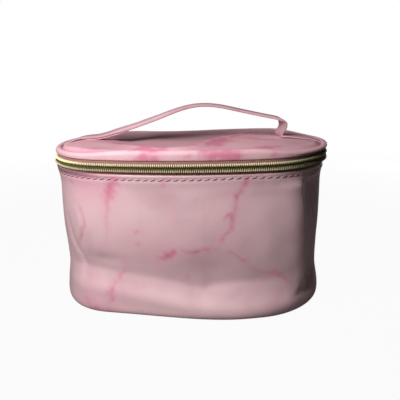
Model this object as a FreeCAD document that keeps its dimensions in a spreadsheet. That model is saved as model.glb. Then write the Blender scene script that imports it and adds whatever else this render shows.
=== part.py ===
"""Soft oval makeup train case: marbled wall, zip-around lid on a rear hinge, arched strap handle.

The oval is four tangent arcs. Every layer of the case follows it at its own offset, counted outwards
from the line of the zip (half_length by half_depth), so a section is a list of offsets and heights.
Millimetres, +Z up, the floor of the case at zero, the front towards -Y.
"""
import FreeCAD
import Part
import Sketcher
import math
import os
import re

SIZES = {
    # oval of the zip line
    "half_length": 112.0,
    "half_depth": 64.0,
    "side_bow": 5.0,
    # layers
    "skin": 1.2,
    "padding": 2.4,
    "lining": 0.6,
    "tape": 0.6,
    "board": 1.6,
    "layer_gap": 0.1,
    # wall and base
    "wall_height": 116.5,
    "wall_inset": 3.0,
    "flare_start": 98.0,
    "flare_end": 108.5,
    "base_round": 6.0,
    "base_lip": 2.0,
    "binding": 2.5,
    "lining_drop": 2.7,
    # zip
    "tape_seat": 7.0,
    "tape_gap": 2.8,
    "tape_show": 3.2,
    "chain_lift": 2.3,
    "chain_half": 3.1,
    "chain_split": 0.2,
    "coil_depth": 2.5,
    "coil_groove": 0.8,
    "coil_pitch": 1.55,
    "chain_first_angle": 69.0,
    "chain_last_angle": 76.0,
    "tape_end_angle": 62.5,
    "hinge_end_angle": 78.0,
    # lid
    "band_rise": 2.6,
    "roll_radius": 4.6,
    "seam_drop": 3.6,
    "lid_foam": 2.2,
    "seam_binding_width": 3.5,
    "seam_binding_thick": 1.6,
    # handle strap
    "strap_width": 12.0,
    "strap_thick": 2.6,
    "strap_gap": 0.6,
    "lift_from_end": 18.0,
    "lift_radius": 25.0,
    "shoulder_from_end": 60.0,
    "shoulder_rise": 9.2,
    "shoulder_radius": 80.0,
    "peak_off_centre": 11.0,
    "peak_rise": 30.0,
    "peak_radius": 63.0,
    "curl_from_end": 27.0,
    "curl_rise": 13.1,
    "curl_radius": 4.5,
    "fold_from_end": 34.4,
    "fold_radius": 2.2,
    "left_joint_from_end": 35.0,
    "right_joint_from_end": 34.0,
    # slider and pull
    "slider_angle": 70.0,
    "slider_length": 12.0,
    "slider_half_height": 4.8,
    "slider_plate": 1.2,
    "slider_play": 0.4,
    "slider_corner": 1.0,
    "flange_reach": 2.2,
    "inner_play": 0.7,
    "wedge_thick": 1.6,
    "wedge_start": 2.4,
    "wedge_end": 5.2,
    "bridge_half_length": 4.4,
    "bridge_leg": 1.4,
    "bridge_bar": 1.4,
    "bridge_stand": 3.1,
    "ring_radius": 2.3,
    "ring_wire": 0.5,
    "ring_hang": 0.75,
    "tab_thick": 1.4,
    "tab_hole": 1.4,
    "tab_hang": 0.65,
    "tab_top": 2.4,
    "tab_end": 4.0,
    "tab_length": 18.0,
}

doc = FreeCAD.newDocument("train_case")
sheet = doc.addObject("Spreadsheet::Sheet", "Sizes")
for row, (alias, size) in enumerate(SIZES.items(), start=1):
    sheet.set(f"A{row}", alias)
    sheet.set(f"B{row}", str(size))
    sheet.setAlias(f"B{row}", alias)
doc.recompute()


def bound(expression):
    """The expression with every size named as a cell of the sheet."""
    return re.sub(r"[a-z_]+", lambda word: f"Sizes.{word[0]}" if word[0] in SIZES else word[0], expression)


def number(expression):
    """The value that the sheet gives the expression now."""
    return float(sheet.evalExpression(bound(expression)))


# Heights that several pieces share.
chain_low = "(wall_height + chain_lift)"
chain_middle = f"({chain_low} + chain_half + chain_split / 2)"
chain_top = f"({chain_low} + 2 * chain_half + chain_split)"
tape_low = "(wall_height - tape_seat)"
band_low = f"({chain_top} + tape_show)"
roll_middle = f"({band_low} + band_rise)"
roll_top = f"({roll_middle} + roll_radius)"
panel_top = f"({roll_top} - seam_drop)"
panel_low = f"({panel_top} - skin)"

# Offsets from the zip line, inwards positive, that several pieces share.
tape_out = "(skin + layer_gap)"
tape_in = f"({tape_out} + tape)"
wall_in = "(wall_inset + skin)"
padding_out = f"({wall_in} + layer_gap)"
padding_in = f"({padding_out} + padding)"
lining_out = f"({padding_in} + layer_gap)"
lining_in = f"({lining_out} + lining)"
rim_lining_out = f"({tape_in} + layer_gap)"
rim_lining_in = f"({rim_lining_out} + lining)"
seam_rise = "(roll_radius - seam_drop)"
seam_inset = f"(roll_radius + sqrt(roll_radius ^ 2 - {seam_rise} ^ 2))"
end_radius = "(half_depth - side_bow)"
end_centre = f"(half_length - {end_radius})"
side_radius = f"(({end_centre} ^ 2 + half_depth ^ 2 - {end_radius} ^ 2) / (2 * side_bow))"


def new_sketch(body, name, plane):
    """An empty sketch on one of the body's origin planes."""
    sketch = body.newObject("Sketcher::SketchObject", name)
    support = next(item for item in body.Origin.OriginFeatures if item.Role == plane)
    sketch.AttachmentSupport = [(support, "")]
    sketch.MapMode = "FlatFace"
    return sketch


def hold(sketch, kind, references, expression):
    """A dimension of the sketch that follows the sheet."""
    row = sketch.addConstraint(Sketcher.Constraint(kind, *references, number(expression)))
    sketch.setExpression(f"Constraints[{row}]", bound(expression))


def hold_point(sketch, edge, end, across, up):
    """Both coordinates of a sketch point, on an axis where they are zero."""
    if number(across) == 0:
        sketch.addConstraint(Sketcher.Constraint("PointOnObject", edge, end, -2))
    else:
        hold(sketch, "DistanceX", (-1, 1, edge, end), across)
    if number(up) == 0:
        sketch.addConstraint(Sketcher.Constraint("PointOnObject", edge, end, -1))
    else:
        hold(sketch, "DistanceY", (-1, 1, edge, end), up)


def arc_through(start, end, radius):
    """The short arc from start to end; a positive radius has its centre on the left of the way along."""
    chord = end - start
    left = FreeCAD.Vector(-chord.y, chord.x, 0).normalize()
    rise = math.sqrt(radius ** 2 - (chord.Length / 2) ** 2)
    centre = (start + end) / 2 + left * math.copysign(rise, radius)
    angles = [math.atan2(spot.y - centre.y, spot.x - centre.x) for spot in (start, end)]
    if radius < 0:
        angles.reverse()
    circle = Part.Circle(centre, FreeCAD.Vector(0, 0, 1), abs(radius))
    return Part.ArcOfCircle(circle, angles[0], angles[1])


def add_profile(body, name, plane, corners):
    """A closed outline. Each corner is two expressions; a third is the radius of the arc that reaches it."""
    sketch = new_sketch(body, name, plane)
    spots = [FreeCAD.Vector(number(corner[0]), number(corner[1]), 0) for corner in corners]
    edges = []
    for index, corner in enumerate(corners):
        start = spots[index - 1]
        end = spots[index]
        if len(corner) == 2:
            edges.append((sketch.addGeometry(Part.LineSegment(start, end), False), 1, 2))
            continue
        radius = number(corner[2])
        edge = sketch.addGeometry(arc_through(start, end, radius), False)
        edges.append((edge, 1, 2) if radius > 0 else (edge, 2, 1))
    for index, corner in enumerate(corners):
        edge, first, last = edges[index]
        following = edges[(index + 1) % len(edges)]
        sketch.addConstraint(Sketcher.Constraint("Coincident", edge, last, following[0], following[1]))
        hold_point(sketch, edge, last, corner[0], corner[1])
        if len(corner) == 3:
            hold(sketch, "Radius", (edge,), f"abs({corner[2]})")
    return sketch


def add_oval(body, name, inset):
    """The case's oval, drawn inwards of the zip line by inset."""
    sketch = new_sketch(body, name, "XY_Plane")
    centre = number(end_centre)
    side = number(side_radius)
    rise = side - number("half_depth")
    turn = math.atan2(centre, rise)
    end_size = number(f"{end_radius} - {inset}")
    side_size = number(f"{side_radius} - {inset}")
    quarter = math.pi / 2
    arcs = [
        (centre, 0, end_size, turn - quarter, quarter - turn),
        (0, -rise, side_size, quarter - turn, quarter + turn),
        (-centre, 0, end_size, quarter + turn, 3 * quarter - turn),
        (0, rise, side_size, 3 * quarter - turn, 3 * quarter + turn),
    ]
    for across, up, radius, first, last in arcs:
        circle = Part.Circle(FreeCAD.Vector(across, up, 0), FreeCAD.Vector(0, 0, 1), radius)
        sketch.addGeometry(Part.ArcOfCircle(circle, first, last), False)
    for edge in range(4):
        sketch.addConstraint(Sketcher.Constraint("Tangent", edge, 2, (edge + 1) % 4, 1))
    hold_point(sketch, 0, 3, end_centre, "0")
    hold_point(sketch, 2, 3, f"-{end_centre}", "0")
    for edge, radius in enumerate([end_radius, side_radius, end_radius, side_radius]):
        hold(sketch, "Radius", (edge,), f"{radius} - {inset}")
    return sketch


def add_pad(body, name, sketch, length, both_ways=False):
    """A pad of the sketch that follows the sheet."""
    pad = body.newObject("PartDesign::Pad", name)
    pad.Profile = sketch
    if both_ways:
        pad.SideType = "Symmetric"
    pad.setExpression("Length", bound(length))
    body.Tip = pad
    return pad


def new_body(name):
    """A body whose name is also its label."""
    body = doc.addObject("PartDesign::Body", name)
    body.Label = name
    return body


def ring(name, section):
    """A section of inset, height and arc radius, swept round the oval."""
    body = new_body(name)
    path = add_oval(body, f"{name}_path", "0")
    corners = [(f"half_length - {corner[0]}", *corner[1:]) for corner in section]
    profile = add_profile(body, f"{name}_section", "XZ_Plane", corners)
    sweep = body.newObject("PartDesign::AdditivePipe", f"{name}_sweep")
    sweep.Profile = profile
    sweep.Spine = (path, [])
    body.Tip = sweep
    return body


def plain_ring(name, outer, inner, low, high):
    """A ring of rectangular section."""
    return ring(name, [(outer, low), (outer, high), (inner, high), (inner, low)])


def plate(name, inset, low, thickness):
    """An oval sheet lying flat."""
    body = new_body(name)
    outline = add_oval(body, f"{name}_outline", inset)
    outline.setExpression("AttachmentOffset.Base.z", bound(low))
    add_pad(body, f"{name}_pad", outline, thickness)
    return body


def sector(name, first, last):
    """A block over part of the oval, between two rays given as side (1 right, -1 left) and angle."""
    body = new_body(name)
    corners = []
    for side, angle, reaches in ((*first, ("0.7", "1.4")), (*last, ("1.4", "0.7"))):
        for reach in reaches:
            across = f"{side} * ({end_centre} + {reach} * {end_radius} * cos({angle}))"
            corners.append((across, f"{reach} * {end_radius} * sin({angle})"))
    outline = add_profile(body, f"{name}_outline", "XY_Plane", corners)
    add_pad(body, f"{name}_pad", outline, roll_top)
    return body


def combine(kind, name, base, tool):
    """A boolean of two objects as one named piece."""
    result = doc.addObject(kind, name)
    result.Label = name
    result.Base = base
    result.Tool = tool
    return result


# Wall: marbled skin with a turned-in foot and a flared rim, foam behind it and a lining inside.
foot = "(wall_inset + base_round)"
foot_end = f"({foot} + base_lip)"
foot_inner = "(base_round - skin)"


def rounded(inset, height, radius, span, sides):
    """The corners of a rounding about a centre, outwards from it by radius, in a few flats; span in degrees."""
    corners = []
    for step in range(sides + 1):
        angle = f"({span[0]} + ({span[1]} - {span[0]}) * {step} / {sides})"
        corners.append((f"({inset} - {radius} * cos({angle}))", f"({height} + {radius} * sin({angle}))"))
    return corners


outer_wall = ring("outer_wall", [
    (foot_end, "0"),
    *rounded(foot, "base_round", "base_round", ("-90", "0"), 3),
    ("wall_inset", "flare_start"),
    ("0", "flare_end"),
    ("0", "wall_height"),
    ("skin", "wall_height"),
    ("skin", "flare_end"),
    (wall_in, "flare_start"),
    *rounded(foot, "base_round", foot_inner, ("0", "-90"), 3),
    (foot_end, "skin"),
])
wall_padding = plain_ring("wall_padding", padding_out, padding_in, "base_round + layer_gap", "flare_start")
floor_low = "(skin + board + 2 * layer_gap)"
floor_top = f"({floor_low} + lining)"
lining_low = f"({floor_top} + layer_gap)"
lining_bend = "(flare_start + 1)"
lining_rim = "(flare_end + 0.5)"
lining_high = "(wall_height - lining_drop)"
wall_lining = ring("wall_lining", [
    (lining_out, lining_low),
    (lining_out, lining_bend),
    (rim_lining_out, lining_rim),
    (rim_lining_out, lining_high),
    (rim_lining_in, lining_high),
    (rim_lining_in, lining_rim),
    (lining_in, lining_bend),
    (lining_in, lining_low),
])

# Base: marbled panel inside the wall's foot, a stiff board on it, the floor lining and its bound seam.
base_panel = plate("base_panel", f"({foot_end} + layer_gap)", "0", "skin")
base_board = plate("base_board", f"({foot} + layer_gap)", "(skin + layer_gap)", "board")
foot_reach = f"({foot} + base_round - {floor_low} - {foot_inner} * (sin(30) + cos(30)))"
floor_inset = f"(max({lining_out}; {foot_reach}) + 3 * layer_gap)"
floor_lining = plate("floor_lining", floor_inset, floor_low, "lining")
binding_out = f"({lining_in} + layer_gap)"
floor_binding = ring("floor_binding", [
    (binding_out, lining_low),
    (binding_out, f"{lining_low} + binding"),
    (f"({binding_out} + binding)", f"{lining_low} + 0.4 * binding"),
    (f"({binding_out} + binding)", lining_low),
])

# Zip tapes: the lower one sewn behind the wall's rim, the upper one behind the lid's band. Both stop at
# the rear hinge, and the last stretch of the upper one, in the parked slider, is a piece of its own.
hinge_sector = sector("hinge_sector", (1, "hinge_end_angle"), (-1, "hinge_end_angle"))
upper_cut_sector = sector("upper_cut_sector", (1, "tape_end_angle"), (-1, "hinge_end_angle"))
tape_end_sector = sector("tape_end_sector", (1, "tape_end_angle + layer_gap"), (1, "hinge_end_angle"))
lower_tape_top = f"({chain_middle} - tape_gap / 2)"
upper_tape_low = f"({chain_middle} + tape_gap / 2)"
lower_tape_ring = plain_ring("lower_tape_ring", tape_out, tape_in, tape_low, lower_tape_top)
upper_tape_ring = plain_ring("upper_tape_ring", tape_out, tape_in, upper_tape_low, f"({roll_middle} - layer_gap)")
lower_zip_tape = combine("Part::Cut", "lower_zip_tape", lower_tape_ring, hinge_sector)
upper_zip_tape = combine("Part::Cut", "upper_zip_tape", upper_tape_ring, upper_cut_sector)
upper_tape_end = combine("Part::Common", "upper_tape_end", upper_tape_ring, tape_end_sector)


# Zip coils: one toothed strip per tape, a ridge for every two turns of the coil, following the zip line
# from the slider's parking place round the front to the far end of the hinge.
TURNS_PER_RIDGE = 2
RIDGES_PER_BACK_POINT = 2


def zip_track():
    """The arcs under the coil: centre, radius, first and last angle, and the length before each."""
    centre = number(end_centre)
    radius = number(end_radius)
    side = number(side_radius)
    rise = side - number("half_depth")
    turn = math.atan2(centre, rise)
    quarter = math.pi / 2
    first = math.radians(number("chain_first_angle"))
    last = -2 * quarter - math.radians(number("chain_last_angle"))
    arcs = [
        ((centre, 0), radius, first, turn - quarter),
        ((0, rise), side, turn - quarter, -turn - quarter),
        ((-centre, 0), radius, -turn - quarter, last),
    ]
    return arcs


def coil_strip(name, low, high):
    """The toothed outline of one half of the zip, raised from low to high."""
    arcs = zip_track()
    lengths = [radius * (first - last) for centre, radius, first, last in arcs]
    ridges = int(sum(lengths) / (TURNS_PER_RIDGE * number("coil_pitch")))
    step = sum(lengths) / ridges

    def spot(distance, offset):
        for (centre, radius, first, last), length in zip(arcs, lengths):
            if distance <= length or length is lengths[-1]:
                angle = first - distance / radius
                reach = radius + offset
                return FreeCAD.Vector(centre[0] + reach * math.cos(angle), centre[1] + reach * math.sin(angle),
                                      number(low))
            distance -= length

    back = -number(tape_out) + 1.5 * number("layer_gap")
    ridge = number("coil_depth") - number(tape_out)
    groove = ridge - number("coil_groove")
    back_points = {*range(0, ridges, RIDGES_PER_BACK_POINT), ridges}
    outline = [spot(0.5 * step * index, ridge if index % 2 else groove) for index in range(2 * ridges + 1)]
    outline += [spot(step * index, back) for index in sorted(back_points, reverse=True)]
    face = Part.Face(Part.makePolygon(outline + outline[:1]))
    strip = doc.addObject("Part::Feature", name)
    strip.Label = name
    strip.Shape = face.extrude(FreeCAD.Vector(0, 0, number(high) - number(low)))
    return strip


lower_zip_coil = coil_strip("lower_zip_coil", chain_low, f"{chain_low} + chain_half")
upper_zip_coil = coil_strip("upper_zip_coil", f"{chain_top} - chain_half", chain_top)

# Rear hinge: a strip of the marbled skin between the wall and the lid's band, with a woven backing.
hinge_ring = plain_ring("hinge_ring", "0", "skin", "wall_height + layer_gap", f"({band_low} - layer_gap)")
rear_hinge_strip = combine("Part::Common", "rear_hinge_strip", hinge_ring, hinge_sector)
backing_ring = plain_ring("backing_ring", tape_out, tape_in, tape_low, f"({roll_middle} - layer_gap)")
rear_hinge_backing = combine("Part::Common", "rear_hinge_backing", backing_ring, hinge_sector)

# Lid: a rolled band round a sunk top panel, foam and lining under it, and the bound seam between them.
roll_turn = f"(180 - asin({seam_rise} / roll_radius) / 1 deg)"
lid_band = ring("lid_band", [
    ("0", band_low),
    *rounded("roll_radius", roll_middle, "roll_radius", ("0", roll_turn), 4),
    *rounded("roll_radius", roll_middle, "(roll_radius - skin)", (roll_turn, "0"), 2),
    ("skin", band_low),
])
lid_top_panel = plate("lid_top_panel", f"({seam_inset} + layer_gap)", panel_low, "skin")
foam_low = f"({panel_low} - layer_gap - lid_foam)"
seam_binding_out = f"({seam_inset} - 0.2 * seam_binding_width)"
seam_binding_in = f"({seam_binding_out} + seam_binding_width)"
lid_padding = plate("lid_padding", f"({seam_binding_in} + layer_gap)", foam_low, "lid_foam")
lid_lining = plate("lid_lining", rim_lining_out, f"({foam_low} - layer_gap - lining)", "lining")
lid_seam_binding = plain_ring("lid_seam_binding", seam_binding_out, seam_binding_in,
                              f"({panel_low} - layer_gap - seam_binding_thick)", f"({panel_low} - layer_gap)")


# Handle: one flat strap. Its ends lie on the lid's panel, caught in the end seams; the right end folds
# back on itself before it rises into the arch.
def strap_piece(name, path, cuts):
    """A strap bent along a path of points, each with the radius of its bend, as a band across Y.

    Its two ends are cut square to the two directions of cuts.
    """
    half = number("strap_thick") / 2
    width = number("strap_width")
    sides = ([], [])
    for index, (point, radius) in enumerate(path):
        before = (point - path[index - 1][0]).normalize() if index else None
        after = (path[index + 1][0] - point).normalize() if index + 1 < len(path) else None
        if before is None or after is None:
            heading = after or before
            cut = cuts[0] if before is None else cuts[1]
            slant = FreeCAD.Vector(-cut.z, 0, cut.x) / cut.dot(heading)
            sides[0].append((point + slant * half,))
            sides[1].append((point - slant * half,))
            continue
        bend = before.getAngle(after)
        left = before.z * after.x - before.x * after.z < 0
        reach = radius * math.tan(bend / 2)
        inward = (after - before).normalize()
        centre = point + inward * (radius / math.cos(bend / 2))
        for side, sign in ((sides[0], 1), (sides[1], -1)):
            spots = []
            for spot in (point - before * reach, centre - inward * radius, point + after * reach):
                outward = (spot - centre).normalize()
                spots.append(centre + outward * (radius - sign * half if left else radius + sign * half))
            side.append(tuple(spots))
    wire = []
    cursor = None
    for stop in sides[0] + sides[1][::-1]:
        spots = stop if stop in sides[0] else stop[::-1]
        if cursor is not None:
            wire.append(Part.makeLine(cursor, spots[0]))
        if len(spots) == 3:
            wire.append(Part.Arc(*spots).toShape())
        cursor = spots[-1]
    wire.append(Part.makeLine(cursor, sides[0][0][0]))
    strap = doc.addObject("Part::Feature", name)
    strap.Label = name
    band = Part.Face(Part.Wire(wire)).extrude(FreeCAD.Vector(0, width, 0))
    band.translate(FreeCAD.Vector(0, -width / 2, 0))
    strap.Shape = band
    return strap


strap_low = number(f"{panel_top} + layer_gap + strap_thick / 2")
strap_corner = f"sqrt(({end_radius} - {seam_inset}) ^ 2 - (strap_width / 2) ^ 2)"
strap_end = number(f"{end_centre} + {strap_corner} - 2 * layer_gap")
left_end = FreeCAD.Vector(-strap_end, 0, strap_low)
lift = FreeCAD.Vector(-number("half_length - lift_from_end"), 0, strap_low)
shoulder = FreeCAD.Vector(-number("half_length - shoulder_from_end"), 0, strap_low + number("shoulder_rise"))
peak = FreeCAD.Vector(number("peak_off_centre"), 0, strap_low + number("peak_rise"))
curl = FreeCAD.Vector(number("half_length - curl_from_end"), 0, strap_low + number("curl_rise"))
fold = FreeCAD.Vector(number("half_length - fold_from_end"), 0, strap_low)
right_end = FreeCAD.Vector(strap_end, 0, strap_low)


def along(start, end, across):
    """The point of a straight run at a given x."""
    return start + (end - start) * ((across - start.x) / (end.x - start.x))


strap_gap = number("strap_gap") / 2
left_joint = -number("half_length - left_joint_from_end")
right_joint = number("half_length - right_joint_from_end")
lift_bend = (lift, number("lift_radius"))
shoulder_bend = (shoulder, number("shoulder_radius"))
peak_bend = (peak, number("peak_radius"))
curl_bend = (curl, number("curl_radius"))
fold_bend = (fold, number("fold_radius"))
swing = (along(peak, curl, right_joint) - along(lift, shoulder, left_joint)).normalize()
lengthwise = FreeCAD.Vector(1, 0, 0)
handle_end_left = strap_piece("handle_end_left", [
    (left_end, 0), lift_bend, (along(lift, shoulder, left_joint - strap_gap), 0)], (lengthwise, swing))
handle_strap = strap_piece("handle_strap", [
    (along(lift, shoulder, left_joint + strap_gap), 0), shoulder_bend, peak_bend,
    (along(peak, curl, right_joint - strap_gap), 0)], (swing, swing))
handle_end_right = strap_piece("handle_end_right", [
    (along(peak, curl, right_joint + strap_gap), 0), curl_bend, fold_bend, (right_end, 0)], (swing, lengthwise))


# Slider, pull ring and pull tab, drawn on the end arc: X outwards along its radius, Y along the zip.
def on_end_arc(body):
    """Turn a body from the right-hand end of the oval to where the slider is parked."""
    body.setExpression("Placement.Base.x", bound(end_centre))
    body.Placement.Rotation = FreeCAD.Rotation(FreeCAD.Vector(0, 0, 1), number("slider_angle"))
    body.setExpression("Placement.Rotation.Angle", bound("slider_angle"))


coil_front = f"({end_radius} - {tape_out} + coil_depth)"
plate_low = f"({coil_front} + slider_play)"
plate_top = f"({plate_low} + slider_plate)"
inner_top = f"({end_radius} - {tape_in} - inner_play)"
inner_low = f"({inner_top} - slider_plate)"
flange_inner = f"(slider_half_height - slider_plate)"
zip_slider = new_body("zip_slider")
channel = add_profile(zip_slider, "slider_channel", "XZ_Plane", [
    (plate_top, f"{chain_middle} - slider_half_height"),
    (plate_top, f"{chain_middle} + slider_half_height"),
    (f"{plate_low} - flange_reach", f"{chain_middle} + slider_half_height"),
    (f"{plate_low} - flange_reach", f"{chain_middle} + {flange_inner}"),
    (plate_low, f"{chain_middle} + {flange_inner}"),
    (plate_low, f"{chain_middle} - {flange_inner}"),
    (f"{plate_low} - flange_reach", f"{chain_middle} - {flange_inner}"),
    (f"{plate_low} - flange_reach", f"{chain_middle} - slider_half_height"),
])
channel_pad = add_pad(zip_slider, "slider_channel_pad", channel, "slider_length", both_ways=True)
doc.recompute()
corners = zip_slider.newObject("PartDesign::Fillet", "slider_corners")
half_run = number("slider_length") / 2
half_height = number("slider_half_height")
corner_edges = []
for index, edge in enumerate(channel_pad.Shape.Edges, start=1):
    middle = edge.CenterOfMass
    rise = abs(middle.z - number(chain_middle))
    if abs(abs(middle.y) - half_run) < 1e-6 and abs(rise - half_height) < 1e-6:
        corner_edges.append(f"Edge{index}")
corners.Base = (channel_pad, corner_edges)
corners.setExpression("Radius", bound("slider_corner"))
zip_slider.Tip = corners
wedge = add_profile(zip_slider, "slider_wedge", "XY_Plane", [
    (f"{inner_top} - slider_plate / 2", "wedge_start"),
    (f"{plate_low} + slider_plate / 2", "wedge_start"),
    (f"{plate_low} + slider_plate / 2", "wedge_end"),
    (f"{inner_top} - slider_plate / 2", "wedge_end"),
])
wedge.setExpression("AttachmentOffset.Base.z", bound(chain_middle))
add_pad(zip_slider, "slider_wedge_pad", wedge, "wedge_thick", both_ways=True)
inner = add_profile(zip_slider, "slider_inner", "XZ_Plane", [
    (inner_low, f"{chain_middle} - slider_half_height"),
    (inner_top, f"{chain_middle} - slider_half_height"),
    (inner_top, f"{chain_middle} + slider_half_height"),
    (inner_low, f"{chain_middle} + slider_half_height"),
])
add_pad(zip_slider, "slider_inner_pad", inner, "slider_length", both_ways=True)
bar_middle = f"({plate_top} + bridge_stand)"
bar_low = f"({bar_middle} - bridge_bar / 2)"
bar_top = f"({bar_middle} + bridge_bar / 2)"
bridge_inner = "(bridge_half_length - bridge_leg)"
bridge = add_profile(zip_slider, "slider_bridge", "XY_Plane", [
    (f"{plate_top} - slider_plate / 2", "-bridge_half_length"),
    (bar_top, "-bridge_half_length"),
    (bar_top, "bridge_half_length"),
    (f"{plate_top} - slider_plate / 2", "bridge_half_length"),
    (f"{plate_top} - slider_plate / 2", bridge_inner),
    (bar_low, bridge_inner),
    (bar_low, f"-{bridge_inner}"),
    (f"{plate_top} - slider_plate / 2", f"-{bridge_inner}"),
])
bridge.setExpression("AttachmentOffset.Base.z", bound(chain_middle))
add_pad(zip_slider, "slider_bridge_pad", bridge, "bridge_bar", both_ways=True)
on_end_arc(zip_slider)

ring_middle = f"({chain_middle} - ring_hang)"
pull_ring = new_body("pull_ring")
link_outline = new_sketch(pull_ring, "pull_ring_outline", "XZ_Plane")
for reach in ("ring_radius + ring_wire", "ring_radius - ring_wire"):
    centre = FreeCAD.Vector(number(bar_middle), number(ring_middle), 0)
    circle = link_outline.addGeometry(Part.Circle(centre, FreeCAD.Vector(0, 0, 1), number(reach)), False)
    hold_point(link_outline, circle, 3, bar_middle, ring_middle)
    hold(link_outline, "Radius", (circle,), reach)
add_pad(pull_ring, "pull_ring_pad", link_outline, "2 * ring_wire", both_ways=True)
on_end_arc(pull_ring)

hole_middle = f"({ring_middle} - ring_radius - tab_hang)"
tab_foot = f"({hole_middle} - tab_length)"
pull_tab = new_body("pull_tab")
tab_outline = add_profile(pull_tab, "pull_tab_outline", "YZ_Plane", [
    ("tab_top", hole_middle),
    ("0", f"{hole_middle} + tab_top", "tab_top"),
    ("-tab_top", hole_middle, "tab_top"),
    ("-tab_end", tab_foot),
    ("0", f"{tab_foot} - tab_end", "tab_end"),
    ("tab_end", tab_foot, "tab_end"),
])
eye = tab_outline.addGeometry(
    Part.Circle(FreeCAD.Vector(0, number(hole_middle), 0), FreeCAD.Vector(0, 0, 1), number("tab_hole")), False)
hold_point(tab_outline, eye, 3, "0", hole_middle)
hold(tab_outline, "Radius", (eye,), "tab_hole")
tab_outline.setExpression("AttachmentOffset.Base.z", bound(bar_middle))
add_pad(pull_tab, "pull_tab_pad", tab_outline, "tab_thick", both_ways=True)
on_end_arc(pull_tab)

doc.recompute()

PIECES = [
    outer_wall, wall_padding, wall_lining, base_panel, base_board, floor_lining, floor_binding,
    lower_zip_tape, lower_zip_coil, rear_hinge_strip, rear_hinge_backing,
    lid_band, lid_top_panel, lid_padding, lid_lining, lid_seam_binding,
    upper_zip_tape, upper_tape_end, upper_zip_coil,
    handle_end_left, handle_strap, handle_end_right,
    zip_slider, pull_ring, pull_tab,
]
for item in doc.Objects:
    if "Invalid" in item.State or "Error" in item.State:
        raise RuntimeError(f"{item.Name} did not build: {item.State}")
os.makedirs("parts", exist_ok=True)
for piece in PIECES:
    if piece.Shape.isNull() or not piece.Shape.isValid() or len(piece.Shape.Solids) != 1:
        raise RuntimeError(f"{piece.Label} is not one sound solid")
    piece.Shape.exportStep(f"parts/{piece.Label}.step")
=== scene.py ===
"""Soft oval makeup train case in marbled pink PU with a gold coil zip, dressed over its frame."""
import math

import bmesh
import bpy
import numpy as np
from mathutils import Matrix, Vector


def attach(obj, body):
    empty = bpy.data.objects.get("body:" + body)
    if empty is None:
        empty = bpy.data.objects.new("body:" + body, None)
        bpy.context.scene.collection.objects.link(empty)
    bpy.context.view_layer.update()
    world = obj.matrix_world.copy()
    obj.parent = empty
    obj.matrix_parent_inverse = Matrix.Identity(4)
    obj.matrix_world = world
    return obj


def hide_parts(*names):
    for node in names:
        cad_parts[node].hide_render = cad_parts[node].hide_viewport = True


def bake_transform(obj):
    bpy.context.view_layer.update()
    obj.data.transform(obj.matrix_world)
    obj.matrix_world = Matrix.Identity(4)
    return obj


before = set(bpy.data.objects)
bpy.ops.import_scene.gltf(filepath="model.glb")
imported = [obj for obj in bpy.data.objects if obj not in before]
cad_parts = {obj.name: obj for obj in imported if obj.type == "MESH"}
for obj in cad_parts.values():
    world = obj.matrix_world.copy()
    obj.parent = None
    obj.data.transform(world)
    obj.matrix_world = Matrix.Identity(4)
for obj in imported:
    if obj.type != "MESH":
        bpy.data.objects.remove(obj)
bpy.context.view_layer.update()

# Base panel. The underside is one oval of the marbled PU, sewn edge to edge with the turned-in foot of
# the wall. Every part of the case is cut round this oval, so its plan and the skin's finish start here.
mm = 0.001
half_length = 112.0
half_depth = 64.0
end_radius = 59.0
end_centre = half_length - end_radius
side_radius = (end_centre**2 + half_depth**2 - end_radius**2) / (2 * (half_depth - end_radius))
side_offset = side_radius - half_depth
side_turn = math.atan2(end_centre, side_offset)
side_run = side_radius * side_turn
end_run = end_radius * (math.pi - 2 * side_turn)
girth = 4 * side_run + 2 * end_run
run_breaks = np.array([-girth / 2, -side_run - end_run, -side_run, side_run, side_run + end_run, girth / 2])
turn_breaks = math.pi / 2 + np.array([
    0, side_turn, math.pi - side_turn, math.pi + side_turn, 2 * math.pi - side_turn, 2 * math.pi])
arc_centres = np.array([
    [0, -side_offset], [-end_centre, 0], [0, side_offset], [end_centre, 0], [0, -side_offset]])
arc_radii = np.array([side_radius, end_radius, side_radius, end_radius, side_radius])


def oval(around, inset):
    """Points (mm) of the oval and its outward directions, at a run from the front's middle.

    The outline is five arcs. A point is its arc's centre plus the arc's radius, less the inset, along a
    direction that turns evenly with the run.
    """
    around = (np.asarray(around, float) + girth / 2) % girth - girth / 2
    arc = np.clip(np.searchsorted(run_breaks, around, side="right") - 1, 0, 4)
    turn = np.interp(around, run_breaks, turn_breaks)
    outward = np.stack([np.cos(turn), np.sin(turn)], -1)
    reach = arc_radii[arc] - inset
    return arc_centres[arc] + reach[..., None] * outward, outward


def evenly_round(count):
    """Runs of equal spacing round the whole oval, starting at the back's middle."""
    return -girth / 2 + girth * np.arange(count) / count


def oval_disc(inset, count, shares):
    """Plan points of an oval sheet, on lines from its edge (share 1) to its spine in the middle (share 0)."""
    edge, _ = oval(evenly_round(count)[:, None], inset)
    spine = edge * np.array([end_centre / half_length, 0])
    return spine + (edge - spine) * np.asarray(shares)[None, :, None]


def with_height(flat, height):
    """Plan points with a height each."""
    return np.concatenate([flat, np.broadcast_to(height, flat.shape[:2])[..., None]], -1)


def ease(value, low, high):
    """0 at low, 1 at high, with a level start and finish."""
    share = np.clip((value - low) / (high - low), 0, 1)
    return share * share * (3 - 2 * share)


def hump(value, middle, width):
    """A bell of height 1 about the middle."""
    return np.exp(-(((value - middle) / width) ** 2))


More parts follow.
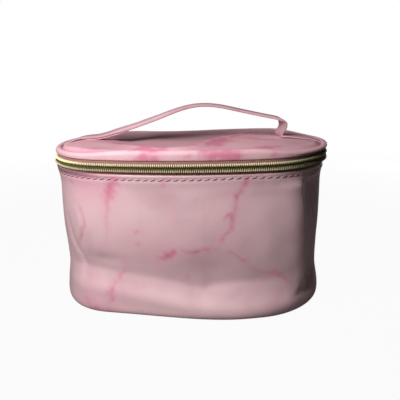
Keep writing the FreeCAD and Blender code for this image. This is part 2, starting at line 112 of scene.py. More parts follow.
def near_line(across, up, line):
    """Distance of each point from a line of straight runs, and how far along it (0 to 1) that is."""
    line = np.asarray(line, float)
    runs = np.diff(line, axis=0)
    lengths = np.hypot(runs[:, 0], runs[:, 1])
    starts = np.r_[0, np.cumsum(lengths)]
    nearest = np.full(np.broadcast(across, up).shape, np.inf)
    share = np.zeros(nearest.shape)
    for start, run, length, before in zip(line, runs, lengths, starts):
        along = np.clip(((across - start[0]) * run[0] + (up - start[1]) * run[1]) / length**2, 0, 1)
        gap = np.hypot(across - start[0] - along * run[0], up - start[1] - along * run[1])
        share = np.where(gap < nearest, (before + along * length) / starts[-1], share)
        nearest = np.minimum(nearest, gap)
    return nearest, share


def vein_print(across, up, veins):
    """The veins' printed strength: each has its own on its line and falls to nothing at its half width.

    The lines wander by a sum of sine waves, and swell and fade along their way by another.
    """
    wander = 0.8 * np.sin(up / 3.1 + 1.3 * np.sin(across / 6.1)) + 0.25 * np.sin(up / 1.5 + across / 2.6)
    stray = 0.8 * np.sin(across / 3.3 + 1.1 * np.sin(up / 5.3)) + 0.25 * np.sin(across / 1.6 - up / 2.3)
    swell = 0.8 + 0.2 * np.sin(across / 1.9 + 2.1 * np.sin(up / 4.1)) * np.sin(up / 2.3 + across / 5.3)
    strength = np.zeros(np.broadcast(across, up).shape)
    for weight, half_width, line in veins:
        gap, share = near_line(across + wander, up + stray, line)
        tips = 0.55 + 0.45 * np.sin(math.pi * share) ** 0.6
        strength = np.maximum(strength, weight * swell * tips * np.clip(1 - gap / half_width, 0, 1))
    return strength


def piece(name, grid, closed, body, finish, prints=None, weld=False):
    """A mesh on a grid of points in mm, rows by columns; leading axes are separate copies of the grid.

    Each face joins four neighbours, and the closed axes join their last line to their first.
    """
    rows, columns = grid.shape[-3:-1]
    index = np.arange(rows * columns).reshape(rows, columns)
    index = np.concatenate([index, index[:1]], 0) if closed[0] else index
    index = np.concatenate([index, index[:, :1]], 1) if closed[1] else index
    faces = np.stack([index[:-1, :-1], index[1:, :-1], index[1:, 1:], index[:-1, 1:]], -1).reshape(1, -1, 4)
    copies = int(np.prod(grid.shape[:-3], dtype=int))
    faces = (faces + rows * columns * np.arange(copies)[:, None, None]).reshape(-1, 4)
    points = np.ascontiguousarray(grid, dtype=np.float32).reshape(-1, 3) * mm
    mesh = bpy.data.meshes.new(name)
    mesh.vertices.add(len(points))
    mesh.vertices.foreach_set("co", points.ravel())
    mesh.loops.add(faces.size)
    mesh.loops.foreach_set("vertex_index", faces.ravel().astype(np.int32))
    mesh.polygons.add(len(faces))
    mesh.polygons.foreach_set("loop_start", np.arange(0, faces.size, 4, dtype=np.int32))
    mesh.polygons.foreach_set("use_smooth", np.ones(len(faces), bool))
    for print_name, values in (prints or {}).items():
        layer = mesh.attributes.new(print_name, "FLOAT", "POINT")
        layer.data.foreach_set("value", np.broadcast_to(values, grid.shape[:-1]).ravel().astype(np.float32))
    mesh.update(calc_edges=True)
    mesh.validate()
    if weld:
        shell = bmesh.new()
        shell.from_mesh(mesh)
        bmesh.ops.remove_doubles(shell, verts=shell.verts, dist=0.002 * mm)
        shell.to_mesh(mesh)
        shell.free()
    made = bpy.data.objects.new(name, mesh)
    bpy.context.scene.collection.objects.link(made)
    if body:
        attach(made, body)
    made.data.materials.append(finish)
    return made


class Wire:
    """An output of a shader node; arithmetic on it adds Math nodes."""

    def __init__(self, tree, socket):
        self.tree = tree
        self.socket = socket

    def maths(self, operation, first, second):
        node = self.tree.nodes.new("ShaderNodeMath")
        node.operation = operation
        plug(self.tree, first, node.inputs[0])
        plug(self.tree, second, node.inputs[1])
        return Wire(self.tree, node.outputs[0])

    def __add__(self, other):
        return self.maths("ADD", self, other)

    def __radd__(self, other):
        return self.maths("ADD", other, self)

    def __sub__(self, other):
        return self.maths("SUBTRACT", self, other)

    def __rsub__(self, other):
        return self.maths("SUBTRACT", other, self)

    def __mul__(self, other):
        return self.maths("MULTIPLY", self, other)

    def __rmul__(self, other):
        return self.maths("MULTIPLY", other, self)


def plug(tree, value, socket):
    """Link a wire to a socket, or set the socket's own value."""
    if isinstance(value, Wire):
        tree.links.new(value.socket, socket)
    else:
        socket.default_value = value


class Finish:
    """A material, or the world, built node by node."""

    def __init__(self, name, kind="materials"):
        self.material = getattr(bpy.data, kind).new(name)
        self.material.use_nodes = True
        self.tree = self.material.node_tree
        self.tree.nodes.clear()

    def node(self, kind, settings, inputs, output=0):
        made = self.tree.nodes.new(kind)
        for key, value in settings.items():
            setattr(made, key, value)
        for key, value in inputs.items():
            plug(self.tree, value, made.inputs[key])
        return Wire(self.tree, made.outputs[output]) if len(made.outputs) else None

    def place(self):
        return self.node("ShaderNodeTexCoord", {}, {}, "Object")

    def printed(self, name):
        return self.node("ShaderNodeAttribute", {"attribute_name": name}, {}, "Fac")

    def noise(self, vector, scale, detail, **others):
        return self.node("ShaderNodeTexNoise", {},
                         {"Vector": vector, "Scale": scale, "Detail": detail, **others})

    def stripes(self, vector, direction, scale, distortion=0.0):
        return self.node("ShaderNodeTexWave", {"bands_direction": direction},
                         {"Vector": vector, "Scale": scale, "Distortion": distortion}, "Fac")

    def between(self, value, low, high):
        return self.node("ShaderNodeMapRange", {"interpolation_type": "SMOOTHSTEP"},
                         {"Value": value, "From Min": low, "From Max": high}, "Result")

    def mixed(self, share, first, second):
        return self.node("ShaderNodeMix", {"data_type": "RGBA"}, {0: share, 6: first, 7: second}, 2)

    def bump(self, height, strength, depth):
        return self.node("ShaderNodeBump", {},
                         {"Strength": strength, "Distance": depth, "Height": height}, "Normal")

    def surface(self, inputs):
        shader = self.node("ShaderNodeBsdfPrincipled", {}, inputs)
        self.node("ShaderNodeOutputMaterial", {}, {"Surface": shader})
        return self.material


def marbled_skin(name):
    """Printed PU: pale pink, mauve clouds, ragged magenta veins, a fine pebble grain under the gloss, and
    painted shade.
    """
    skin = Finish(name)
    place = skin.place()
    clouds = skin.noise(place, 21.0, 3.0, Distortion=0.6)
    wisps = skin.noise(place, 95.0, 5.0, Roughness=0.62)
    flecks = skin.noise(place, 620.0, 2.0)
    grain = skin.node("ShaderNodeTexVoronoi", {}, {"Vector": place, "Scale": 1900.0}, "Distance")
    pale = (0.80, 0.53, 0.555, 1)
    mauve = (0.70, 0.455, 0.485, 1)
    blush = (0.82, 0.42, 0.485, 1)
    rose = (0.78, 0.37, 0.445, 1)
    magenta = (0.68, 0.19, 0.30, 1)
    # The dark tone that the painted shade mixes in.
    shade_tone = (0.22, 0.11, 0.14, 1)
    cloudy = skin.mixed(skin.between(clouds, 0.47, 0.74), pale, mauve)
    ground = skin.mixed(skin.printed("blush") * (0.55 + 0.9 * clouds), cloudy, blush)
    veins = skin.printed("vein")
    ragged = veins + (wisps - 0.5) * skin.between(veins, 0.0, 0.3)
    halo = skin.between(ragged, 0.0, 0.6)
    core = skin.between(ragged, 0.3, 0.95)
    faint = skin.between(wisps * clouds, 0.315, 0.42) * 0.35
    tinted = skin.mixed(faint + halo * 0.7, ground, rose)
    inked = skin.mixed(core * 0.75, tinted, magenta)
    along = skin.node("ShaderNodeCombineXYZ", {}, {"X": skin.printed("run")})
    pleats = skin.printed("pleat") * skin.stripes(along, "X", 0.185)
    # Painted shade: the printed mask, and the valleys between the band's pleats, mix in the dark tone where
    # shade falls.
    sunk = skin.printed("painted_shade") + 0.12 * (skin.printed("pleat") - pleats)
    shaded = skin.mixed(sunk * 0.8, inked, shade_tone)
    relief = grain * 0.5 + flecks * 0.5 + pleats * 3.0
    return skin.surface({"Base Color": shaded, "Roughness": 0.44 + 0.16 * wisps, "Specular IOR Level": 0.4,
                         "Normal": skin.bump(relief, 0.16, 0.0002)})


skin_finish = marbled_skin("marbled_pu")
base_shares = np.r_[np.linspace(0, 0.96, 22), 0.985, 0.995, 1.0]
base_plan = oval_disc(inset=9.6, count=240, shares=base_shares)
base_rise = 0.05 + 1.1 * (1 - ease(base_shares, 1.0, 0.97)) + 0.35 * hump(base_shares, 0, 0.6)
underside_veins = [
    (0.8, 4.0, [(-80, 10), (-58, 2), (-44, -16), (-20, -22)]),
    (0.7, 3.0, [(-20, -22), (-4, -36), (2, -48)]),
    (0.8, 4.5, [(18, 40), (30, 22), (54, 16), (70, -4)]),
    (0.6, 3.0, [(54, 16), (72, 26), (84, 22)]),
]
base_panel = piece(
    "base_panel_skin", with_height(base_plan, base_rise), (True, False), "case", skin_finish,
    {"vein": vein_print(base_plan[..., 0], base_plan[..., 1], underside_veins), "painted_shade": 0.0}, weld=True)
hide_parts("base_panel")

# Base board. A stiff grey board lies on the base panel and keeps the oval flat; the wall's foot is
# turned in under its edge. It is rigid, so the frame's own solid stays.


def grained(name, texture, sockets, tones, roughness, relief=None):
    """A plain finish: one grain mixes two tones, adds to the roughness and, with a relief, makes a bump."""
    finish = Finish(name)
    grain = finish.node(texture, {}, {"Vector": finish.place(), **sockets})
    raised = {"Normal": finish.bump(grain, *relief)} if relief else {}
    even, uneven = roughness
    tone = finish.mixed(grain, *tones)
    return finish.surface({"Base Color": tone, "Roughness": even + uneven * grain, **raised})


def refinish(node_name, finish):
    """Give one of the frame's own solids a finish in place of its plain one."""
    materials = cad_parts[node_name].data.materials
    materials.clear()
    materials.append(finish)


refinish("base_board", grained(
    "grey_board", "ShaderNodeTexNoise", {"Scale": 480.0, "Detail": 4.0},
    tones=[(0.36, 0.34, 0.33, 1), (0.46, 0.44, 0.42, 1)], roughness=(0.85, -0.1), relief=(0.3, 0.0003)))

# Outer wall. One long strip of marbled PU over thin foam, closed by a seam at the back, turned in at the
# foot and folded over at the rim. It stands loosely, so it sinks in above the base, creases and dents.


def carried_round(around, inset, height):
    """A section of insets and heights carried round the oval: one row of points for each run."""
    flat, _ = oval(np.asarray(around)[:, None], inset)
    return with_height(flat, height)


def smooth_line(points, count):
    """Points evenly spaced along a natural cubic spline through the given ones, by chord length.

    The spline's second derivatives solve the usual three-term system; each run blends its two ends.
    """
    points = np.asarray(points, float)
    chord = np.r_[0, np.cumsum(np.linalg.norm(np.diff(points, axis=0), axis=1))]
    gap = np.diff(chord)
    inner = np.arange(1, len(points) - 1)
    system = np.eye(len(points))
    system[inner, inner - 1] = gap[:-1]
    system[inner, inner] = 2 * (gap[:-1] + gap[1:])
    system[inner, inner + 1] = gap[1:]
    slope = np.diff(points, axis=0) / gap[:, None]
    change = np.zeros_like(points)
    change[1:-1] = 6 * (slope[1:] - slope[:-1])
    bend = np.linalg.solve(system, change)
    at = np.linspace(0, chord[-1], count)
    run = np.clip(np.searchsorted(chord, at, side="right") - 1, 0, len(gap) - 1)
    late = ((at - chord[run]) / gap[run])[:, None]
    early = 1 - late
    curve = ((early**3 - early) * bend[run] + (late**3 - late) * bend[run + 1]) * gap[run, None] ** 2 / 6
    return early * points[run] + late * points[run + 1] + curve


def read_off(value, line):
    """The second coordinate of a line of straight runs, read off at the first."""
    return np.interp(value, *np.transpose(line))


def crease(around, height, line, width):
    """A pinched fold along a line: a bell across it that fades towards both ends."""
    gap, share = near_line(around, height, line)
    return hump(gap, 0, width) * np.sin(math.pi * share) ** 0.5


def dents(around, height, each):
    """The sum of soft round dents, each a bell of its own depth about its place, with a size along and up."""
    return sum(
        depth * hump(np.hypot((around - place[0]) / size[0], (height - place[1]) / size[1]), 0, 1)
        for depth, place, size in each)


stitch_height = 112.9
wall_outside = smooth_line([
    (13.0, 0.2), (10.0, 0.06), (6.9, 0.08), (4.9, 0.6), (3.6, 1.8), (3.05, 4.0), (2.9, 8.0), (2.9, 30),
    (2.9, 60), (2.9, 94), (2.75, 101), (2.2, 106.5), (1.35, 111), (0.8, 114), (0.65, 116.0),
    (0.85, 116.6)], 132)
wall_inside = smooth_line([
    (1.15, 116.55), (1.45, 115.6), (1.6, 112), (2.4, 106), (4.0, 97), (4.15, 80), (4.15, 40), (4.2, 12),
    (4.6, 5.6), (5.8, 2.6), (8.5, 1.45), (13.0, 1.3)], 26)
ledge_line = [
    (-292, 30), (-100, 36), (-81, 37), (-62, 36.7), (-47, 35.1), (-22, 32), (-2, 28.2), (9, 25.3),
    (15.5, 24.3), (24, 26.8), (41, 29), (62, 30), (80, 29.6), (95, 31.5), (292, 30)]
hem_line = [(-292, 12), (-120, 19), (-70, 20.5), (-31, 17), (9, 11), (41, 8), (81, 10), (120, 13), (292, 12)]
fold_line = [(13, 91), (19, 99), (24.4, 102), (34, 102), (51, 99.8), (72, 97.4), (93, 95.2), (110, 93)]
upper_crease = [(-84.5, 88), (-82.2, 77.3), (-81.5, 72.4), (-84.6, 64.2), (-89.8, 56), (-93, 49)]
lower_crease = [
    (-107, 80), (-103.6, 66), (-101, 58.6), (-97.3, 50), (-93.7, 46), (-92, 39), (-90.5, 33.7),
    (-89.8, 26.7), (-90, 18)]
back_crease = [(226, 20), (240, 34), (252, 40), (270, 36)]


def stitch_line(around):
    """The height of the row of stitches (mm), which rises a little at the front right."""
    return stitch_height + 1.1 * hump(around, 48, 34)


def wall_relief(around, height):
    """How far the wall stands out of its even line (mm): belly, sunk line over the ledge, creases, dents.

    The sunk line falls off more steeply below the ledge than above it. At the right, past the fold, the
    wall turns away towards the back, more sharply in the middle than where it hangs slack at the foot.
    """
    front = ease(np.abs(around), 116, 88)
    back_gap = girth / 2 - np.abs(around)
    over_ledge = height - read_off(around, ledge_line)
    valley = (np.sqrt(over_ledge**2 + 3.6**2) - 3.6) / np.where(over_ledge > 0, 15.0, 10.0)
    sunk = -4.6 * np.exp(-valley) * (0.08 + 0.92 * front) * (0.86 + 0.14 * np.sin(around / 17 + 0.6))
    sunk = sunk * (1 - 0.55 * ease(around, 66, 88))
    belly = 1.1 * hump(height, 74, 26)
    foot = (2.4 + 4.2 * hump(around, 36, 46) + 3.2 * hump(around, -84, 30)) * hump(height, 4, 13.5)
    hem = 1.7 * hump(height, read_off(around, hem_line), 6.5) * (0.3 + 0.7 * front)
    past_fold = around - read_off(height, fold_line)
    slack = ease(height, 34, 12)
    loose = slack + 0.3 * ease(height, 60, 100)
    turned = ease(past_fold, 1 - 9 * loose, 8 + 16 * loose) * ease(past_fold, 46, 16)
    right_turn = 2.9 * hump(past_fold, -3, 12) * (1 - slack) - 5.2 * turned
    right_turn = right_turn * ease(height, 3, 20) * ease(height, 113, 103)
    left_end = (
        0.4 * crease(around + 5, height, upper_crease, 5.0) - 0.9 * crease(around, height, upper_crease, 2.2)
        + 0.4 * crease(around + 4, height, lower_crease, 5.0)
        - 0.9 * crease(around - 1.5, height, lower_crease, 2.8))
    soft_dents = dents(around, height, [
        (-1.5, (17, 40), (17, 12)), (-0.8, (-64, 46), (18, 5)), (0.5, (58, 106), (34, 5)),
        (-0.5, (-8, 92), (30, 9)), (-1.6, (205, 58), (40, 22)), (-1.4, (-215, 66), (46, 18))])
    back_fold = -1.1 * crease(around, height, back_crease, 4.5)
    seam = 0.35 * hump(back_gap, 3.6, 2.2) - 0.8 * hump(back_gap, 0, 1.5)
    ripple = (
        0.24 * np.sin(around / 9.5 + height / 26) * np.sin(height / 17 + around / 41)
        + 0.10 * np.sin(around / 4.1 + 2 * np.sin(height / 23)) * np.sin(height / 7.5 + around / 19))
    settled = ease(height, 2, 9) * ease(height, 112, 100)
    thread_pull = -0.5 * hump(height, stitch_line(around), 1.3)
    every = belly + sunk + left_end + soft_dents + back_fold + ripple + seam
    return settled * every + right_turn + foot + hem + thread_pull


wall_round = evenly_round(600)
wall_section = np.concatenate([wall_outside, wall_inside])
wall_run = wall_round[:, None]
wall_high = wall_section[None, :, 1]
wall_inset = wall_section[None, :, 0] - wall_relief(wall_run, wall_high)
wall_veins = [
    (1.00, 11.0, [(-49, 117), (-52, 109), (-55, 102), (-57, 96)]),
    (0.78, 7.0, [(-56, 99), (-58, 92), (-58.5, 88)]),
    (0.45, 5.0, [(-58, 94), (-58.5, 83), (-59.5, 71), (-60.5, 60)]),
    (0.55, 4.2, [(-84.5, 88), (-82, 77), (-81.5, 72), (-84.6, 64), (-89, 57)]),
    (0.88, 4.6, [(50, 116), (47.5, 110), (43.7, 102), (41.6, 95), (40, 88), (38.5, 84)]),
    (0.98, 5.0, [(44, 102), (41, 93), (39.5, 85), (39, 80)]),
    (0.85, 4.4, [(39, 82), (37.4, 75), (32.5, 69), (30, 61)]),
    (0.90, 4.0, [(40, 86), (36.8, 85), (33, 82)]),
    (0.90, 4.6, [(-4, 56.5), (10, 56.8), (21, 57.6), (30, 60)]),
    (1.15, 8.5, [(-17, 50.5), (-11, 53.5), (-5, 56.5)]),
    (0.62, 4.0, [(30, 60), (32, 56), (40, 53.4), (47, 48.5), (52.6, 44)]),
    (0.70, 4.2, [(52.6, 44), (57.7, 38.4), (66, 36.6), (74, 35.7), (81, 30), (91, 26)]),
    (0.70, 6.5, [(-46, 43), (-49, 36), (-54.6, 28), (-59.5, 18), (-61.4, 4)]),
    (0.84, 7.0, [(-84, 13), (-78, 9), (-76, 4), (-66.7, 3), (-60, 5)]),
    (0.50, 5.0, [(-37, 72.5), (-33, 71)]),
    (0.50, 5.0, [(-36, 61), (-31, 62.5)]),
    (0.60, 5.0, [(-11, 114), (-11.5, 107)]),
    (0.60, 9.0, [(-80, 113), (-66, 114)]),
    (0.60, 8.0, [(-94, 112), (-90, 104)]),
    (0.80, 3.0, [(120, 102), (127, 88), (124, 76), (133, 62), (131, 46)]),
    (0.70, 3.8, [(133, 62), (146, 56), (158, 60)]),
    (0.75, 6.8, [(176, 116), (184, 100), (182, 86), (191, 70)]),
    (0.75, 2.8, [(191, 70), (207, 62), (222, 66), (236, 46), (233, 22)]),
    (0.75, 3.0, [(262, 112), (254, 92), (258, 78), (248, 62)]),
    (0.70, 5.5, [(270, 34), (282, 20), (292, 14)]),
    (0.75, 5.5, [(-286, 110), (-270, 96), (-266, 80)]),
    (0.70, 2.8, [(-266, 80), (-252, 70), (-240, 74), (-226, 58), (-230, 38)]),
    (0.80, 5.5, [(-196, 116), (-200, 96), (-192, 82), (-196, 64)]),
    (0.70, 2.8, [(-170, 52), (-158, 40), (-161, 24), (-150, 10)]),
    (0.75, 3.6, [(-128, 104), (-134, 86), (-127, 70), (-132, 50)]),
]
wall_blush = dents(wall_run, wall_high, [
    (0.6, (-72, 108), (26, 20)), (0.4, (-20, 58), (40, 16)), (0.5, (-66, 10), (26, 16)),
    (0.25, (36, 84), (18, 26)), (0.4, (200, 70), (60, 40)), (0.4, (-220, 60), (60, 40))])
# Painted shade on the wall: darker at the back seam, just under the stitches, at the foot, under the zip's
# overhang at the left front, at the left end and over two dents.
seam_shade = 0.45 * hump(girth / 2 - np.abs(wall_run), 0, 0.9)
thread_shade = 0.2 * hump(wall_high, stitch_height - 0.6, 0.8)
foot_shade = (0.12 + 0.2 * ease(wall_run, -20, 30)) * ease(wall_high, 15, 2)
rim_shade = 0.6 * ease(wall_high, 111, 116) + 0.6 * ease(wall_high, 113, 115.6)
rim_shade = rim_shade * ease(-wall_run, 48, 84) * ease(-wall_run, 150, 110)
end_shade = 0.22 * hump(wall_run, -108, 20)
dent_shade = dents(wall_run, wall_high, [(0.13, (-28, 47), (62, 14)), (0.2, (-82, 12), (24, 13))])
wall_shade = seam_shade + thread_shade + foot_shade + rim_shade + end_shade + dent_shade
wall_skin = piece(
    "wall_skin", carried_round(wall_round, wall_inset, wall_high), (True, True), "case",
    skin_finish,
    {"vein": vein_print(wall_run, wall_high, wall_veins), "blush": wall_blush, "painted_shade": wall_shade})
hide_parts("outer_wall")

# Foam behind the wall: a thin open-cell sheet glued to the skin's inner face. It gives the wall its soft
# hand, and follows each of its dents.
foam_finish = grained(
    "white_foam", "ShaderNodeTexVoronoi", {"Scale": 900.0},
    tones=[(0.62, 0.60, 0.55, 1), (0.80, 0.78, 0.73, 1)], roughness=(0.95, -0.1), relief=(0.5, 0.0004))
foam_round = evenly_round(240)
foam_rise = np.linspace(8.3, 92, 24)
foam_high = np.r_[foam_rise, foam_rise[::-1]][None]
foam_faces = np.repeat([4.35, 6.5], len(foam_rise))[None]
foam_inset = foam_faces - wall_relief(foam_round[:, None], foam_high)
wall_foam = piece(
    "wall_foam", carried_round(foam_round, foam_inset, foam_high), (True, True), "case",
    foam_finish)
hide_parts("wall_padding")

# Wall lining: plain woven dusty-pink cloth, hung inside the foam from behind the zip tape to the floor
# seam. It is cut a little long, so it ripples.


def lining_cloth(name):
    """Plain weave: two crossed sets of threads in the bump, slight slubs in the tone."""
    cloth = Finish(name)
    weave = cloth.node("ShaderNodeCombineXYZ", {}, {"X": cloth.printed("run"), "Y": cloth.printed("rise")})
    threads = cloth.stripes(weave, "X", 0.9, 0.4) * cloth.stripes(weave, "Y", 0.9, 0.4)
    slubs = cloth.noise(cloth.place(), 160.0, 4.0)
    tone = cloth.mixed(0.6 * slubs + 0.4 * threads, (0.42, 0.23, 0.27, 1), (0.60, 0.37, 0.42, 1))
    return cloth.surface({"Base Color": tone, "Roughness": 0.72 + 0.12 * slubs, "Sheen Weight": 0.25,
                          "Normal": cloth.bump(threads, 0.35, 0.0003)})


cloth_finish = lining_cloth("pink_lining")
lining_round = evenly_round(360)
lining_section = smooth_line([
    (3.1, 113.8), (3.3, 109), (5.2, 101), (6.9, 95), (7.0, 60), (7.0, 20), (7.1, 3.8)], 64)
lining_run = lining_round[:, None]
lining_high = lining_section[None, :, 1]
lining_ripple = 0.35 * np.sin(lining_run / 6.3 + 1.5 * np.sin(lining_high / 30)) * ease(lining_high, 112, 90)
lining_ripple = (lining_ripple + 0.35) * ease(lining_high, 4, 16)
lining_inset = lining_section[None, :, 0] - wall_relief(lining_run, lining_high) + lining_ripple
wall_lining = piece(
    "wall_lining_cloth", carried_round(lining_round, lining_inset, lining_high), (True, False), "case",
    cloth_finish, {"run": lining_run, "rise": lining_high})
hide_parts("wall_lining")

# Floor lining: an oval of the same cloth laid over the board, its edge caught with the wall's lining in a
# bound seam that runs round the floor.


def oval_cloth(name, plan, height, body):
    """An oval of lining on plan points with a height each, its weave along the length and depth."""
    return piece(name, with_height(plan, height), (True, False), body, cloth_finish,
                 {"run": plan[..., 0], "rise": plan[..., 1]}, weld=True)


floor_plan = oval_disc(inset=7.2, count=240, shares=np.linspace(1, 0, 26))
floor_wave = 0.12 * np.sin(floor_plan[..., 0] / 11) * np.sin(floor_plan[..., 1] / 9 + 0.4)
floor_lining = oval_cloth("floor_lining_cloth", floor_plan, 3.35 + floor_wave, "case")
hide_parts("floor_lining")
binding_round = evenly_round(360)
binding_turn = np.linspace(0, 2 * math.pi, 12, endpoint=False)[None]


def bound_edge(name, body, inset, height, half_width, half_thick, weave_radius):
    """A folded tape round the oval: an ellipse of the two half sizes about an inset and a height."""
    grid = carried_round(binding_round, inset - half_width * np.cos(binding_turn),
                         height + half_thick * np.sin(binding_turn))
    return piece(name, grid, (True, True), body, cloth_finish,
                 {"run": binding_round[:, None], "rise": weave_radius * binding_turn})


pucker = 1 + 0.07 * np.sin(binding_round / 1.1)[:, None]
floor_binding = bound_edge(
    "floor_binding_tape", "case", inset=8.9, height=5.0, half_width=1.25 * pucker, half_thick=1.2 * pucker,
    weave_radius=1.3)
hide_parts("floor_binding")

# Rim stitching: a row of slanted topstitches in pink thread, a few millimetres under the wall's folded
# rim, that holds the lower zip tape behind it.


def tube(path, sideways, radius, sides):
    """A round wire along a path: circles square to its direction, laid out from the sideways directions."""
    heading = np.gradient(path, axis=-2)
    heading = heading / np.linalg.norm(heading, axis=-1, keepdims=True)
    first = sideways - (sideways * heading).sum(-1, keepdims=True) * heading
    first = first / np.linalg.norm(first, axis=-1, keepdims=True)
    second = np.cross(first, heading)
    turn = np.linspace(0, 2 * math.pi, sides, endpoint=False)[:, None]
    circle = first[..., None, :] * np.cos(turn) + second[..., None, :] * np.sin(turn)
    return path[..., None, :] + np.asarray(radius)[..., None, None] * circle


def on_wall(around, height, proud):
    """Points standing proud of the wall's outer face by a given amount."""
    upper_face = wall_outside[len(wall_outside) // 3:, ::-1]
    inset = read_off(height, upper_face) - wall_relief(around, height) - proud
    flat, _ = oval(around, inset)
    return with_height(flat, height)


thread_finish = grained(
    "pink_thread", "ShaderNodeTexNoise", {"Scale": 2600.0, "Detail": 2.0},
    tones=[(0.40, 0.20, 0.25, 1), (0.62, 0.37, 0.43, 1)], roughness=(0.5, 0.15), relief=(0.5, 0.0002))
upward = np.array([0.0, 0.0, 1.0])
stitch_count = 102
stitch_pitch = girth / stitch_count
stitch_share = np.linspace(-1, 1, 9)[None]
stitch_middle = -girth / 2 + stitch_pitch * (np.arange(stitch_count)[:, None] + 0.5)
stitch_run = stitch_middle + 0.36 * stitch_pitch * stitch_share
stitch_rise = stitch_line(stitch_middle) + 0.7 * stitch_share
stitch_path = on_wall(stitch_run, stitch_rise, 0.30 - 0.75 * stitch_share**4)
stitch_radius = 0.43 * np.sqrt(np.clip(1.02 - stitch_share**6, 0, 1)) * np.ones_like(stitch_run)
stitch_grid = tube(stitch_path, upward, stitch_radius, sides=6)
piece("rim_stitches", stitch_grid, (False, True), "case", thread_finish)

# Lower zip tape: woven polyester, dyed rose, sewn behind the wall's rim, with its coil along the top edge.
# It runs from one end of the rear hinge round the front to the other.


def run_at(degrees):
    """The run at which the oval's outward direction has turned to an angle from +X (90 to 450)."""
    return float(np.interp(math.radians(degrees), turn_breaks, run_breaks))


def woven_tape(name):
    """Rib weave: raised cords across the tape, fine threads along it, and painted shade on the tape beside
    the coils.
    """
    tape = Finish(name)
    rise = tape.printed("rise")
    weave = tape.node("ShaderNodeCombineXYZ", {}, {"X": tape.printed("run"), "Y": rise})
    cords = tape.stripes(weave, "X", 0.2027) * (0.6 + 0.4 * tape.stripes(weave, "Y", 0.5))
    fuzz = tape.noise(weave, 2.4, 3.0)
    dyed = tape.mixed(0.6 * cords + 0.4 * fuzz, (0.40, 0.17, 0.18, 1), (0.92, 0.58, 0.58, 1))
    # Painted shade: the tape is darker next to the coils, where it shows in narrow gaps beside them.
    coil_shade = tape.between(rise, 129.0, 125.4) * tape.between(rise, 115.5, 117.5)
    tone = tape.mixed(coil_shade * 0.8, dyed, (0.28, 0.11, 0.105, 1))
    return tape.surface({"Base Color": tone, "Roughness": 0.8 + 0.1 * fuzz, "Sheen Weight": 0.2,
                         "Normal": tape.bump(cords, 0.6, 0.0004)})


def capped(grid):
    """A tube of points with each end gathered to the middle of its last section."""
    middle = grid.mean(-2, keepdims=True)
    first = np.broadcast_to(middle[..., :1, :, :], grid[..., :1, :, :].shape)
    last = np.broadcast_to(middle[..., -1:, :, :], grid[..., -1:, :, :].shape)
    return np.concatenate([first, grid, last], -3)


def with_ends(values):
    """Values along a capped tube, as a column: the first and the last are there once more for the caps."""
    return np.r_[values[:1], values, values[-1:]][:, None]


def tape_section(low, high, count):
    """A tape's section: up its outer face, over a round edge, down its inner face."""
    rise = np.linspace(low, high, count)
    return np.concatenate([
        np.stack([np.full(count, tape_inset), rise], -1),
        [(tape_inset + tape_thick / 2, high + tape_thick / 2)],
        np.stack([np.full(count, tape_inset + tape_thick), rise[::-1]], -1),
        [(tape_inset + tape_thick / 2, low - tape_thick / 2)]])


def along_tape(start, stop):
    """Runs along a tape, a little over a coil's pitch apart."""
    return np.linspace(start, stop, max(8, int((stop - start) / 1.6)))


def tape_piece(name, run, section, body):
    """A tape's section carried along part of the oval, with closed ends."""
    grid = capped(carried_round(run, section[None, :, 0], section[None, :, 1]))
    prints = {"run": with_ends(run), "rise": section[None, :, 1]}
    return piece(name, grid, (False, True), body, tape_finish, prints, weld=True)


tape_finish = woven_tape("rose_zip_tape")
tape_inset = 1.75
tape_thick = 0.5
tape_foot = 110
hinge_left = run_at(102)
hinge_right = run_at(438)
lower_section = tape_section(low=tape_foot, high=120.3, count=12)
lower_tape = tape_piece("lower_tape", along_tape(hinge_left, hinge_right), lower_section, "case")
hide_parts("lower_zip_tape")

# Zip coil: one metallised filament for each tape, wound in long flat loops over a core cord and sewn on.
# The loops' heads pass each other in the middle, so the two halves are half a pitch apart.
zip_start = run_at(104)
zip_stop = run_at(429)
chain_middle = 122.0
coil_pitch = 1.55
loop_points = 10
wire_radius = 0.40
wire_sides = 5


def zip_line(run, proud):
    """Plan points of the zip and its outward directions; both its ends lean a little to the right."""
    flat, outward = oval(run, -proud)
    endward = flat[:, 0] / half_length
    flat[:, 0] = flat[:, 0] + (0.85 - 0.35 * endward) * endward**2
    return flat, outward


def coil_filament(name, stop, side, reach, phase, body):
    """A flat helix: a loop for each pitch along the zip, tall across the zip and shallow out of it."""
    turns = int((stop - zip_start) / coil_pitch)
    turn = np.arange(turns * loop_points + 1) / loop_points
    angle = 2 * math.pi * turn
    run = zip_start + coil_pitch * (turn + phase)
    lean = angle + 0.55 * np.sin(angle)
    across = 0.1 + reach * (1 + np.cos(lean))
    out_and_back = np.sign(np.sin(lean)) * np.abs(np.sin(lean)) ** (0.38 + 0.12 * side)
    proud = 0.1 + out_and_back * (0.28 + 0.38 * across)
    flat, outward = zip_line(run, proud)
    path = np.concatenate([flat, (chain_middle + side * across)[:, None]], -1)
    along = np.stack([-outward[:, 1], outward[:, 0], np.zeros(len(run))], -1)
    radius = wire_radius * (0.7 + 0.6 * np.clip(across / 2.6, 0, 1))
    # Painted shade towards the zip's right end, which turns away from the light.
    prints = {"across": with_ends(across) / reach, "right_end_shade": ease(with_ends(run), 56, 100)}
    grid = capped(tube(path, along, radius, wire_sides))
    return piece(name, grid, (False, True), body, coil_finish, prints, weld=True)


